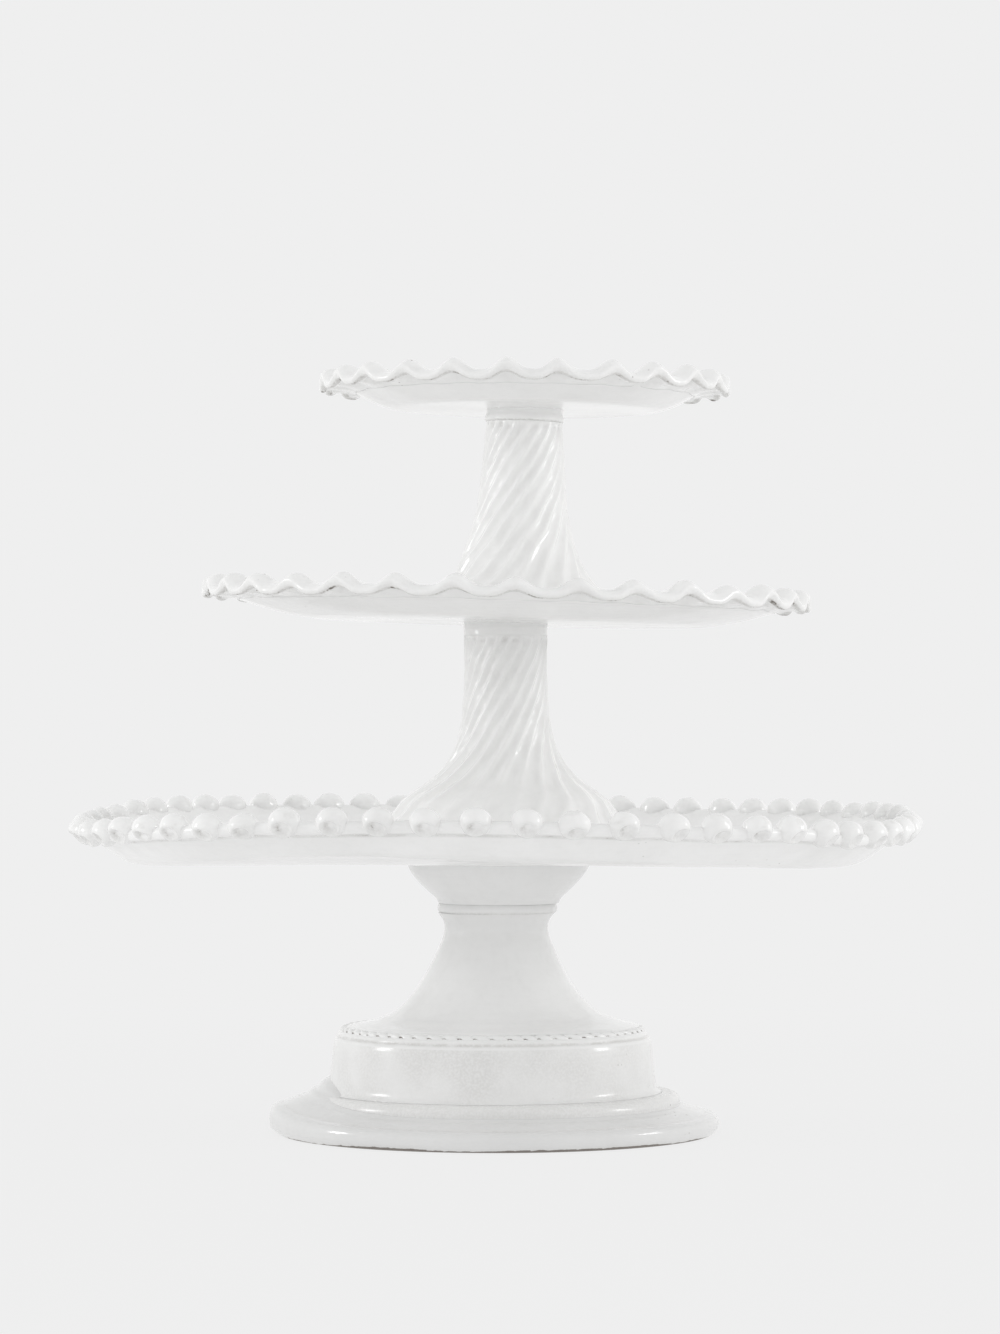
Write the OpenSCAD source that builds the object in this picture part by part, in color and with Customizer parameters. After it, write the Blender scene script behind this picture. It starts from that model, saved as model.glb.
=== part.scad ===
// Tiered cake stand: three footed pottery stands, each resting loose on the plate below.
// Millimetres, +Z up. The origin is the centre of the large stand's foot, on the table.

/* [Foot] */
// Diameter of the lowest disc
foot_d = 209; // [204:1:214]
// Height of the lowest disc
foot_h = 12.5; // [11:0.5:15]
// Diameter of the step on the disc
step_d = 172; // [168:1:176]
// Height of the step
step_h = 7; // [6:0.5:9]
// Diameter of the drum at its base
drum_d = 152.6; // [150:0.2:156]
// Height of the drum
drum_h = 31; // [28:0.5:34]
// Radius of the drum's rounded shoulder
shoulder_r = 10; // [8:0.5:11]
// Number of beads round the shoulder
bead_count = 60; // [48:1:66]
// Diameter of a bead
bead_d = 5; // [4.4:0.2:5.6]

/* [Stem] */
// Height of the waisted stem
stem_h = 52.5; // [46:0.5:58]
// Diameter of the stem's foot
stem_foot_d = 124; // [118:1:126]
// Diameter of the stem's waist
neck_d = 48.4; // [46:0.4:54]
// Height of the ring on the stem
neck_ring_h = 4.5; // [4:0.5:6]
// Height of the bowl-shaped collar
collar_h = 21; // [18:1:26]
// Diameter of the collar under the plate
collar_d = 86; // [80:1:92]

/* [Large plate] */
// Diameter over the pearls
large_d = 400; // [390:1:420]
// Number of pearls on the rim
pearl_count = 60; // [52:1:64]
// Diameter of a pearl
pearl_d = 13.6; // [12.6:0.2:14.6]
// Thickness of the clay in the plates
plate_t = 6.5; // [6:0.5:7.5]

/* [Medium stand] */
// Diameter over the ruffled rim
medium_d = 290; // [280:1:300]
// Diameter of the column's foot
medium_foot_d = 124; // [118:1:128]
// Diameter of the column's narrow part
medium_neck_d = 39.4; // [38:0.2:42]
// Height of the column below its plain band
medium_column_h = 97.5; // [92:0.5:106]
// Number of lobes on the rim
medium_lobes = 32; // [28:1:33]
// How far the stand sits to the right of the large stand's axis
medium_shift = 4.5; // [0:0.5:8]
// Tilt of the plate on its column, right side down, in degrees
medium_tilt = 1.5; // [0:0.1:2]

/* [Small stand] */
// Diameter over the ruffled rim
small_d = 197.6; // [190:0.2:206]
// Diameter of the column's foot
small_foot_d = 94; // [90:1:98]
// Diameter of the column's narrow part
small_neck_d = 35.8; // [34:0.2:38]
// Height of the column below its plain band
small_column_h = 87.7; // [82:0.1:96]
// Number of lobes on the rim
small_lobes = 24; // [20:1:24]
// How far the stand sits to the right of the medium plate's centre
small_shift = 6.3; // [0:0.1:8]
// Tilt of the plate, right side down, in degrees
small_tilt = 0.6; // [0:0.1:1.5]

/* [Hidden] */

GLAZE = [0.93, 0.93, 0.91];
$fn = 96;

// Thickness of the clay in the feet and columns
wall = 7;
// Height of the plain band between a column and its plate, and how far it sinks into the plate
band_h = 6;
band_sink = 1.5;

// Heights of the joins, from the table up
step_z = foot_h;
drum_z = step_z + step_h;
stem_z = drum_z + drum_h;
neck_ring_z = stem_z + stem_h;
collar_z = neck_ring_z + neck_ring_h;
large_z = collar_z + collar_h;
large_floor_z = large_z + plate_t;
medium_band_z = large_floor_z + medium_column_h;
medium_z = medium_band_z + band_h;

// Plates: radius of the flat middle and of the lip, and how far the lip stands above the underside
lip_t = 5.4;
large_flat_r = 160;
large_rim_r = large_d / 2 - 10;
large_rise = 11;
medium_flat_r = 84;
medium_rim_r = medium_d / 2 - 5.9;
medium_rise = 7.8;
small_flat_r = 60;
small_rim_r = small_d / 2 - 5.9;
small_rise = 6.8;
lobe_r = 9;

// Foot: rounded edge, flat ring it rests on, and the hollow inside
foot_edge_r = 4.5;
foot_edge_z = 6;
foot_rest_w = 8.5;
foot_inner_r = 64;
foot_ledge_z = 5;
step_round_r = 4;
drum_inner_r = drum_d / 2 - wall;
drum_taper = 1.8;

// Outlines as [share of the way from neck to foot radius, share of the height]
STEM = [[1, 0], [0.815, 0.058], [0.62, 0.117], [0.386, 0.285], [0.206, 0.493], [0.035, 0.757],
        [0, 0.87], [0.03, 1]];
MEDIUM_COLUMN = [[1, 0.041], [0.917, 0.087], [0.797, 0.146], [0.693, 0.205], [0.551, 0.254],
                 [0.404, 0.297], [0.255, 0.358], [0.158, 0.415], [0.092, 0.477], [0.017, 0.631],
                 [0, 1]];
SMALL_COLUMN = [[1, 0.034], [0.863, 0.074], [0.691, 0.125], [0.485, 0.194], [0.271, 0.332],
                [0.192, 0.434], [0.117, 0.536], [0.079, 0.675], [0.045, 0.792], [0, 1]];
// Collar as [share of the way from ring to plate radius, share of the height]
COLLAR = [[0, 0], [0.14, 0.12], [0.52, 0.38], [0.86, 0.68], [1, 0.93], [1, 1]];

// ---- Curves ----

// One point of a Catmull-Rom span from b to c
function on_span(a, b, c, d, t) =
    0.5 * (2 * b + (c - a) * t + (2 * a - 5 * b + 4 * c - d) * t * t
           + (3 * b - a - 3 * c + d) * t * t * t);

// Smooth curve through the points p, with n steps a span
function smooth(p, n = 3) =
    let (last = len(p) - 1)
    [for (i = [0 : last - 1]) for (k = [0 : n - 1])
         on_span(p[max(i - 1, 0)], p[i], p[i + 1], p[min(i + 2, last)], k / n),
     p[last]];

// The curve c moved t to its left, which is inwards on a wall drawn upwards
function inset(c, t) =
    let (last = len(c) - 1)
    [for (i = [0 : last])
         let (d = c[min(i + 1, last)] - c[max(i - 1, 0)])
         c[i] + t * [-d[1], d[0]] / norm(d)];

function reversed(p) = [for (i = [len(p) - 1 : -1 : 0]) p[i]];

// An outline given in shares, laid between two radii and over a height
function laid(shares, neck_r, foot_r, h) =
    [for (s = shares) [neck_r + s[0] * (foot_r - neck_r), s[1] * h]];

// ---- Shapes shared by the stands ----

// Thin wall turned round the axis, following an outline, open at both ends
module turned_wall(outline, h) {
    rotate_extrude()
        intersection() {
            polygon(concat(outline, reversed(inset(outline, wall))));
            square([large_d, h]);
        }
}

// Hollow trumpet with a short upright lip round its foot
module trumpet(shares, neck_r, foot_r, h) {
    outline = smooth(laid(shares, neck_r, foot_r, h));
    rotate_extrude()
        intersection() {
            polygon(concat([[foot_r - wall, 0], [foot_r, 0]], outline,
                           reversed(inset(outline, wall))));
            square([foot_r, h]);
        }
}

// Plain band with a raised bead round its foot
module plain_band(r, h) {
    bead_r = 1.6;
    rotate_extrude() {
        translate([r - wall, 0])
            square([wall, h]);
        translate([r, bead_r])
            circle(r = bead_r);
    }
}

// Shallow round plate: a flat middle, a rising wall and a thin lip
module plate(flat_r, rim_r, rise) {
    underside = smooth([[flat_r, 0], [flat_r + (rim_r - flat_r) * 0.4, rise * 0.25],
                        [rim_r - 8, rise * 0.9], [rim_r, rise]]);
    top = smooth([[rim_r, rise + lip_t], [rim_r - 9, rise + lip_t],
                  [flat_r + (rim_r - flat_r) * 0.35, plate_t + rise * 0.22], [flat_r, plate_t]]);
    rotate_extrude()
        polygon(concat([[0, 0]], underside, top, [[0, plate_t]]));
}

// Ruffled rim: a rolled edge with upright round lobes, leaning out a little
module ruffled_rim(r, count, lobe_r) {
    roll_r = 3.3;
    lean = 12;
    lobe_t = 5.4;
    below = 2;
    rotate_extrude()
        translate([r, 0])
            circle(r = roll_r, $fn = 32);
    for (i = [0 : count - 1])
        rotate([0, 0, 360 * i / count])
            translate([r, 0, 0])
                rotate([0, lean, 0])
                    intersection() {
                        sphere(r = lobe_r, $fn = 48);
                        translate([-lobe_t / 2, -lobe_r, -below])
                            cube([lobe_t, 2 * lobe_r, lobe_r + below]);
                    }
}

// Row of equal balls round the axis
module ball_ring(r, count, ball_r) {
    for (i = [0 : count - 1])
        rotate([0, 0, 360 * i / count])
            translate([r, 0, 0])
                sphere(r = ball_r, $fn = 32);
}

// ---- Places of the upper stands ----

module on_large_plate() {
    translate([medium_shift, 0, large_floor_z])
        children();
}

// The medium plate's own frame: its underside's centre, tilted
module at_medium_plate() {
    translate([medium_shift, 0, medium_z])
        rotate([0, medium_tilt, 0])
            children();
}

module on_medium_plate() {
    at_medium_plate()
        translate([small_shift, 0, plate_t])
            children();
}

module at_small_plate() {
    on_medium_plate()
        translate([0, 0, small_column_h + band_h])
            rotate([0, small_tilt - medium_tilt, 0])
                children();
}

// ---- Large stand ----

module foot_plate() {
    edge_mid_r = foot_d / 2 - foot_edge_r;
    rest_in = edge_mid_r - foot_rest_w;
    edge = [for (a = [-60 : 15 : 60])
                [edge_mid_r, foot_edge_z] + foot_edge_r * [cos(a), sin(a)]];
    color(GLAZE)
        rotate_extrude()
            polygon(concat([[rest_in, 0], [edge_mid_r, 0]], edge,
                           [[edge_mid_r - 5, foot_h - 0.6], [edge_mid_r - 9, foot_h],
                            [foot_inner_r, foot_h], [foot_inner_r, foot_ledge_z],
                            [rest_in - 3, foot_ledge_z]]));
}

module foot_step() {
    r = step_d / 2;
    corner = [for (a = [0 : 15 : 90])
                  [r - step_round_r, step_h - step_round_r] + step_round_r * [cos(a), sin(a)]];
    color(GLAZE)
        translate([0, 0, step_z])
            rotate_extrude()
                polygon(concat([[foot_inner_r, 0], [r - 1, 0]], corner, [[foot_inner_r, step_h]]));
}

module foot_drum() {
    r = drum_d / 2;
    inner_top = drum_h - wall;
    shoulder = [for (a = [0 : 15 : 90])
                    [r - drum_taper - shoulder_r, drum_h - shoulder_r]
                    + shoulder_r * [cos(a), sin(a)]];
    deck_in = stem_foot_d / 2 - 2.5 * wall;
    color(GLAZE)
        translate([0, 0, drum_z])
            rotate_extrude()
                polygon(concat([[drum_inner_r, 0], [r, 0]], shoulder,
                               [[deck_in, drum_h], [deck_in, inner_top],
                                [drum_inner_r - 5, inner_top], [drum_inner_r, inner_top - 5]]));
}

module foot_bead_ring() {
    bead_ring_r = drum_d / 2 - drum_taper - shoulder_r * 0.55;
    bead_drop = 1.6;
    color(GLAZE)
        translate([0, 0, stem_z - bead_drop])
            ball_ring(bead_ring_r, bead_count, bead_d / 2);
}

module stem() {
    color(GLAZE)
        translate([0, 0, stem_z])
            turned_wall(smooth(laid(STEM, neck_d / 2, stem_foot_d / 2, stem_h)), stem_h);
}

module neck_ring() {
    r = neck_d / 2 + 4;
    edge_r = neck_ring_h / 2;
    color(GLAZE)
        translate([0, 0, neck_ring_z])
            rotate_extrude() {
                translate([neck_d / 2 - wall, 0])
                    square([r - edge_r - neck_d / 2 + wall, neck_ring_h]);
                translate([r - edge_r, edge_r])
                    circle(r = edge_r, $fn = 32);
            }
}

module collar() {
    color(GLAZE)
        translate([0, 0, collar_z])
            turned_wall(smooth(laid(COLLAR, neck_d / 2 + 3, collar_d / 2, collar_h)), collar_h);
}

module large_plate() {
    color(GLAZE)
        translate([0, 0, large_z])
            plate(large_flat_r, large_rim_r, large_rise);
}

module large_plate_pearls() {
    color(GLAZE)
        translate([0, 0, large_z + large_rise + lip_t])
            ball_ring(large_d / 2 - pearl_d / 2, pearl_count, pearl_d / 2);
}

// ---- Medium stand ----

module medium_column() {
    color(GLAZE)
        on_large_plate()
            trumpet(MEDIUM_COLUMN, medium_neck_d / 2, medium_foot_d / 2, medium_column_h);
}

module medium_column_ring() {
    color(GLAZE)
        translate([medium_shift, 0, medium_band_z])
            plain_band(medium_neck_d / 2, band_h + band_sink);
}

module medium_plate() {
    color(GLAZE)
        at_medium_plate()
            plate(medium_flat_r, medium_rim_r, medium_rise);
}

module medium_plate_scallops() {
    color(GLAZE)
        at_medium_plate()
            translate([0, 0, medium_rise + lip_t / 2])
                ruffled_rim(medium_rim_r + 1, medium_lobes, lobe_r);
}

// ---- Small stand ----

module small_column() {
    color(GLAZE)
        on_medium_plate()
            trumpet(SMALL_COLUMN, small_neck_d / 2, small_foot_d / 2, small_column_h);
}

module small_column_ring() {
    color(GLAZE)
        on_medium_plate()
            translate([0, 0, small_column_h])
                plain_band(small_neck_d / 2, band_h + band_sink);
}

module small_plate() {
    color(GLAZE)
        at_small_plate()
            plate(small_flat_r, small_rim_r, small_rise);
}

module small_plate_scallops() {
    color(GLAZE)
        at_small_plate()
            translate([0, 0, small_rise + lip_t / 2])
                ruffled_rim(small_rim_r + 1, small_lobes, lobe_r);
}

foot_plate();
foot_step();
foot_drum();
foot_bead_ring();
stem();
neck_ring();
collar();
large_plate();
large_plate_pearls();
medium_column();
medium_column_ring();
medium_plate();
medium_plate_scallops();
small_column();
small_column_ring();
small_plate();
small_plate_scallops();
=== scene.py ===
# Tiered cake stand: three loose stands of glazed pottery, stacked.
# The CAD frame gives every place and size. Each CAD node is replaced by a detailed mesh of the same
# outline, with hand-made wobble, twisted flutes, hooded pearls, ruffled rims and a milky glaze.
# Shapes are worked out in millimetres and stored in metres.
# Shade is also painted into the glaze: grey and clay-dark marks in grooves, notches, hollows, joints and
# under lips.
import math

import bpy
import numpy as np
from mathutils import Matrix, Vector


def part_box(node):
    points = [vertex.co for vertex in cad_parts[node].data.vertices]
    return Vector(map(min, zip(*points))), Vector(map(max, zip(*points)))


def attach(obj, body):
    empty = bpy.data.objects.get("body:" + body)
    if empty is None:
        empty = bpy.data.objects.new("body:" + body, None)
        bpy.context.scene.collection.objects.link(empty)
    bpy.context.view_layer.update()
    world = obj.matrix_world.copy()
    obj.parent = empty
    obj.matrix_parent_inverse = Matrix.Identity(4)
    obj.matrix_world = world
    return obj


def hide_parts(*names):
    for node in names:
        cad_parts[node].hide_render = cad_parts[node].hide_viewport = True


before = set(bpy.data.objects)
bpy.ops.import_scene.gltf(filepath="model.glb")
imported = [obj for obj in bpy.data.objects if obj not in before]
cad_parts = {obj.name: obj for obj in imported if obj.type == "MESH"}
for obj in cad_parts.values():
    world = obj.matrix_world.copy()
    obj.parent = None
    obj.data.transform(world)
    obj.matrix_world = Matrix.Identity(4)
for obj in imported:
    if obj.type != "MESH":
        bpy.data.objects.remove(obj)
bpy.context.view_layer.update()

MM = 0.001
FRONT = -math.pi / 2

# ---------------------------------------------------------------------------------------------
# Curves and noise
# ---------------------------------------------------------------------------------------------


def smooth_curve(points, per_span=8):
    """Catmull-Rom curve through the points."""
    p = np.array(points, float)
    a = np.vstack([2 * p[0] - p[1], p, 2 * p[-1] - p[-2]])
    t = (np.arange(per_span) / per_span)[:, None]
    spans = [
        0.5
        * (
            2 * a[i + 1]
            + (a[i + 2] - a[i]) * t
            + (2 * a[i] - 5 * a[i + 1] + 4 * a[i + 2] - a[i + 3]) * t**2
            + (3 * a[i + 1] - a[i] - 3 * a[i + 2] + a[i + 3]) * t**3
        )
        for i in range(len(p) - 1)
    ]
    return np.vstack(spans + [p[-1:]])


def evenly(curve, step):
    """The same curve with points about step apart."""
    curve = np.array(curve, float)
    d = np.r_[0, np.cumsum(np.linalg.norm(np.diff(curve, axis=0), axis=1))]
    n = max(2, int(round(d[-1] / step)) + 1)
    s = np.linspace(0, d[-1], n)
    return np.column_stack([np.interp(s, d, curve[:, k]) for k in range(curve.shape[1])])


def arc(cr, cz, radius, a0, a1, n=9):
    a = np.radians(np.linspace(a0, a1, n))
    return np.column_stack([cr + radius * np.cos(a), cz + radius * np.sin(a)])


def ripple(points, size, seed, octaves=3):
    """Smooth seeded noise, about -1 to 1, with features of about size at points (..., 3)."""
    rng = np.random.default_rng(seed)
    total = np.zeros(points.shape[:-1])
    weight = 0.0
    for octave in range(octaves):
        share = 0.55**octave
        for _ in range(5):
            k = rng.normal(size=3)
            k *= 2 * math.pi * 2**octave / (size * np.linalg.norm(k))
            total += share * np.sin(points @ k + rng.uniform(0, 2 * math.pi))
        weight += share
    return total / (2.4 * weight)


def bump_at(value, centre, width):
    """1 at the centre, falling smoothly to 0 about width away."""
    return np.exp(-(((value - centre) / width) ** 2))


def ramp(value, low, high):
    """0 below low, 1 above high, smooth between."""
    t = np.clip((value - low) / (high - low), 0, 1)
    return t * t * (3 - 2 * t)


def degrees_from(phi, side):
    """Degrees round from a side given in degrees, from -180 to 180."""
    return (np.degrees(phi) - side + 180) % 360 - 180


# ---------------------------------------------------------------------------------------------
# The CAD frame's own places
# ---------------------------------------------------------------------------------------------


def cad_points(node):
    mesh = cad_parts[node].data
    co = np.empty(len(mesh.vertices) * 3)
    mesh.vertices.foreach_get("co", co)
    return co.reshape(-1, 3) / MM


def low_mm(node):
    return np.array(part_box(node)[0]) / MM


def high_mm(node):
    return np.array(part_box(node)[1]) / MM


def placed(x, z, tilt_deg=0, base=None):
    m = Matrix.Translation((x, 0, z)) @ Matrix.Rotation(math.radians(tilt_deg), 4, "Y")
    return m if base is None else base @ m


def into(matrix, points):
    m = np.array(matrix)
    return points @ m[:3, :3].T + m[:3, 3]


def outline_of(node, matrix, count=48):
    """The CAD node's outer radius against height, in the frame that matrix gives."""
    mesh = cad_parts[node].data
    ends = np.empty(len(mesh.edges) * 2, int)
    mesh.edges.foreach_get("vertices", ends)
    p = into(matrix.inverted(), cad_points(node))
    a, b = p[ends[::2]], p[ends[1::2]]
    low, high = p[:, 2].min(), p[:, 2].max()
    heights = np.linspace(low + 0.02, high - 0.02, count)
    outer = []
    for h in heights:
        cut = (a[:, 2] - h) * (b[:, 2] - h) <= 0
        span = b[cut, 2] - a[cut, 2]
        t = np.where(np.abs(span) < 1e-6, 0, (h - a[cut, 2]) / np.where(np.abs(span) < 1e-6, 1, span))
        q = a[cut] + t[:, None] * (b[cut] - a[cut])
        outer.append(np.hypot(q[:, 0], q[:, 1]).max())
    heights[0], heights[-1] = low, high
    return heights, np.array(outer)


PLATE_T = 6.5
MEDIUM_TILT = 1.5
SMALL_TILT = 0.6
SMALL_SHIFT = 6.3
BAND_RISE = 6.0

LARGE = placed(0, 0)
medium_x = (low_mm("medium_column")[0] + high_mm("medium_column")[0]) / 2
floor_z = low_mm("medium_column")[2]
medium_band_z = low_mm("medium_column_ring")[2]
MEDIUM = placed(medium_x, floor_z)
MEDIUM_PLATE = placed(medium_x, medium_band_z + BAND_RISE, MEDIUM_TILT)
SMALL = placed(SMALL_SHIFT, PLATE_T, 0, MEDIUM_PLATE)
small_column_h = into(SMALL.inverted(), cad_points("small_column"))[:, 2].max()
SMALL_PLATE = placed(0, small_column_h + BAND_RISE, SMALL_TILT - MEDIUM_TILT, SMALL)

step_z = low_mm("foot_step")[2]
drum_z = low_mm("foot_drum")[2]
stem_z = low_mm("stem")[2]
neck_ring_z = low_mm("neck_ring")[2]
collar_z = low_mm("collar")[2]
large_z = low_mm("large_plate")[2]

# ---------------------------------------------------------------------------------------------
# Meshes
# ---------------------------------------------------------------------------------------------


def store(name, verts, faces, paint, matrix, node, body, slot):
    """A mesh object from points in mm, riding on a body in the place of a CAD node."""
    mesh = bpy.data.meshes.new(name)
    mesh.from_pydata((into(matrix, verts) * MM).tolist(), [], [list(f) for f in faces])
    # Per-point marks: bare clay and thin glaze, with painted shade carried in the same two attributes.
    for key in ("bare", "thin"):
        layer = mesh.attributes.new(key, "FLOAT", "POINT")
        layer.data.foreach_set("value", np.clip(paint[key], 0, 1).astype(np.float32))
    mesh.polygons.foreach_set("use_smooth", [True] * len(mesh.polygons))
    mesh.update()
    piece = bpy.data.objects.new(name, mesh)
    bpy.context.scene.collection.objects.link(piece)
    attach(piece, body)
    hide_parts(node)
    mesh.materials.append(GLAZES[slot])


def grid_quads(nu, nv, closed_v):
    """Faces of a grid of points that closes on itself round u, and round v if closed_v."""
    u = np.arange(nu)[:, None]
    v = np.arange(nv if closed_v else nv - 1)[None, :]
    u2, v2 = (u + 1) % nu, (v + 1) % nv
    corners = [u * nv + v, u2 * nv + v, u2 * nv + v2, u * nv + v2]
    return np.column_stack([c.ravel() for c in corners])


def turned(name, profile, node, body, slot, matrix=LARGE, segments=288, shape=None, paint=None):
    """A turned piece. The profile goes round the section anticlockwise: along the underside outwards,
    up, and back in. It is closed, or starts and ends on the axis. shape(r, z, phi, i) moves the
    points and paint(r, z, phi, i) says where the clay is bare, where the glaze is thin and where shade is
    painted in."""
    profile = np.array(profile, float)
    solid = profile[0, 0] < 1e-6
    rings = profile[1:-1] if solid else profile
    phi = np.linspace(0, 2 * math.pi, segments, endpoint=False)[:, None]
    r = np.repeat(rings[None, :, 0], segments, 0)
    z = np.repeat(rings[None, :, 1], segments, 0)
    phi = np.repeat(phi, len(rings), 1)
    index = np.repeat(np.arange(len(rings))[None, :], segments, 0)
    marks = {"bare": np.zeros_like(r), "thin": np.zeros_like(r)}
    if paint:
        marks.update(paint(r, z, phi, index))
    if shape:
        r, z = shape(r, z, phi, index)
    verts = np.stack([r * np.cos(phi), r * np.sin(phi), z], -1).reshape(-1, 3)
    marks = {k: np.broadcast_to(v, r.shape).ravel() for k, v in marks.items()}
    n = len(rings)
    faces = [tuple(q) for q in grid_quads(segments, n, not solid)]
    if solid:
        bottom, top = len(verts), len(verts) + 1
        verts = np.vstack([verts, [[0, 0, profile[0, 1]], [0, 0, profile[-1, 1]]]])
        marks = {k: np.r_[v, 0, 0] for k, v in marks.items()}
        for u in range(segments):
            nxt = (u + 1) % segments
            faces.append((bottom, nxt * n, u * n))
            faces.append((u * n + n - 1, nxt * n + n - 1, top))
    store(name, verts, faces, marks, matrix, node, body, slot)


def inset_curve(curve, t):
    """The outer curve, drawn upwards, moved t inwards."""
    d = np.gradient(curve, axis=0)
    d /= np.linalg.norm(d, axis=1)[:, None]
    return curve + t * np.column_stack([-d[:, 1], d[:, 0]])


def points_at(r, z, phi):
    return np.stack([r * np.cos(phi), r * np.sin(phi), z], -1)


def hand_made(seed, amount, size=60):
    """A slight unevenness of the wall, as thrown clay has."""

    def move(r, z, phi, i):
        n = ripple(points_at(r, z, phi), size, seed)
        return r + amount * n, z

    return move


# ---------------------------------------------------------------------------------------------
# Glaze
# ---------------------------------------------------------------------------------------------


class Nodes:
    """Short names for building a node tree."""

    def __init__(self, tree):
        self.tree = tree

    def add(self, kind, links=None, **values):
        node = self.tree.nodes.new(kind)
        for key, value in values.items():
            setattr(node, key, value)
        for key, value in (links or {}).items():
            socket = node.inputs[key]
            if isinstance(value, bpy.types.NodeSocket):
                self.tree.links.new(value, socket)
            else:
                socket.default_value = value
        return node

    def math(self, operation, a, b=0.0, clamp=False):
        node = self.add("ShaderNodeMath", operation=operation, use_clamp=clamp)
        for k, value in enumerate((a, b)):
            if isinstance(value, bpy.types.NodeSocket):
                self.tree.links.new(value, node.inputs[k])
            else:
                node.inputs[k].default_value = value
        return node.outputs[0]

    def mix(self, factor, a, b):
        node = self.add("ShaderNodeMix", data_type="RGBA")
        for key, value in ((0, factor), (6, a), (7, b)):
            if isinstance(value, bpy.types.NodeSocket):
                self.tree.links.new(value, node.inputs[key])
            else:
                node.inputs[key].default_value = value
        return node.outputs[2]

    def noise(self, coords, scale, detail=3.0, stretch=(1, 1, 1)):
        mapping = self.add("ShaderNodeMapping", {"Vector": coords, "Scale": stretch})
        node = self.add(
            "ShaderNodeTexNoise",
            {"Vector": mapping.outputs[0], "Scale": scale, "Detail": detail},
        )
        return node.outputs["Fac"]

    def band(self, value, low, high, to_low=0.0, to_high=1.0):
        node = self.add(
            "ShaderNodeMapRange",
            {"Value": value, "From Min": low, "From Max": high, "To Min": to_low, "To Max": to_high},
            interpolation_type="SMOOTHSTEP",
        )
        return node.outputs[0]


WHITE = (0.92, 0.92, 0.915, 1)
MILKY = (0.86, 0.86, 0.853, 1)
GREYED = (0.63, 0.622, 0.605, 1)
CLAY = (0.20, 0.178, 0.16, 1)
SPECK = (0.20, 0.17, 0.145, 1)


def glaze(name, specks, streaks, tone=1.0):
    """White glaze over dark clay: milky mottling, wheel rings, drips, pinholes, thin and bare places, and
    painted shade, greyed or clay-dark, where the attributes carry it.
    """
    material = bpy.data.materials.new(name)
    material.use_nodes = True
    tree = material.node_tree
    tree.nodes.clear()
    n = Nodes(tree)
    coords = n.add("ShaderNodeTexCoord").outputs["Object"]
    bare = n.add("ShaderNodeAttribute", attribute_name="bare").outputs["Fac"]
    thin = n.add("ShaderNodeAttribute", attribute_name="thin").outputs["Fac"]

    clouds = n.noise(coords, 22, 4)
    curdle = n.noise(coords, 260, 3)
    rings = n.noise(coords, 1, 3, (14, 14, 620))
    drips = n.noise(coords, 1, 3, (230, 230, 22))
    rough_edge = n.noise(coords, 900, 3)

    milk = n.math("MULTIPLY", n.band(clouds, 0.35, 0.72), 0.75)
    milk = n.math("ADD", milk, n.math("MULTIPLY", n.band(curdle, 0.45, 0.8), 0.35))
    milk = n.math("ADD", milk, n.math("MULTIPLY", n.band(drips, 0.5, 0.85), 0.25), True)
    colour = n.mix(milk, [c * tone for c in WHITE[:3]] + [1], [c * tone for c in MILKY[:3]] + [1])

    # Greys the glaze: real thin glaze in some places, painted shade in others.
    greying = n.math("MULTIPLY", thin, n.band(rough_edge, 0.25, 0.7, 0.35, 1.25), True)
    colour = n.mix(greying, colour, GREYED)

    holes = n.add(
        "ShaderNodeTexVoronoi", {"Vector": coords, "Scale": 210.0, "Randomness": 1.0}
    ).outputs["Distance"]
    patch = n.band(n.noise(coords, 15, 2), 0.63 - 0.1 * specks, 0.8 - 0.1 * specks)
    pinholes = n.math("MULTIPLY", n.band(holes, 0.07, 0.12, 1.0, 0.0), patch, True)
    colour = n.mix(pinholes, colour, SPECK)

    # Clay-dark colour: real bare clay at the foot's underside, painted shade in hollows and under lips.
    clay_and_shade_here = n.band(n.math("ADD", bare, n.math("MULTIPLY", rough_edge, 0.5)), 0.62, 0.86)
    colour = n.mix(clay_and_shade_here, colour, CLAY)

    gloss = n.band(clouds, 0.3, 0.7, 0.10, 0.17)
    rough = n.math("ADD", gloss, n.math("MULTIPLY", clay_and_shade_here, 0.5))
    rough = n.math("ADD", rough, n.math("MULTIPLY", greying, 0.2))

    height = n.math("MULTIPLY", clouds, 0.9)
    height = n.math("ADD", height, n.math("MULTIPLY", rings, streaks))
    height = n.math("ADD", height, n.math("MULTIPLY", curdle, 0.16))
    height = n.math("SUBTRACT", height, n.math("MULTIPLY", pinholes, 0.5))
    bump = n.add("ShaderNodeBump", {"Height": height, "Strength": 0.5, "Distance": 0.0006})

    shader = n.add(
        "ShaderNodeBsdfPrincipled",
        {"Base Color": colour, "Roughness": rough, "Normal": bump.outputs[0], "IOR": 1.5},
    )
    output = n.add("ShaderNodeOutputMaterial")
    tree.links.new(shader.outputs[0], output.inputs[0])
    return material


# Each copy's tone sets how light it looks, as painted light and shade: the foot plate's glaze is darkened
# to 0.82, the columns' and bands' lightened to 1.03 against the shade of the plates above them.
GLAZES = {
    "glaze": glaze("Glaze", 0.35, 0.2, 0.94),
    "foot_glaze": glaze("FootGlazeShaded", 0.8, 0.2, 0.82),
    "plate_glaze": glaze("PlateGlaze", 0.3, 0.25),
    "rim_glaze": glaze("RimGlaze", 0.9, 0.0),
    "column_glaze": glaze("ColumnGlazeLightened", 0.3, 0.0, 1.03),
}

# ---------------------------------------------------------------------------------------------
# Foot of the large stand
# ---------------------------------------------------------------------------------------------

FOOT_HOLE = 64
FOOT_OUTLINE = [
    (91.5, 0.3), (93, 0.05), (99, 0.05), (101.7, 0.7), (103.7, 2.8), (104.4, 5.2), (103.9, 7.5),
    (101.9, 9.0), (99, 9.35), (97.4, 9.7), (94, 11.1), (91, 12.0), (88.5, 12.6), (86.6, 13.8), (84, 14),
]
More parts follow.
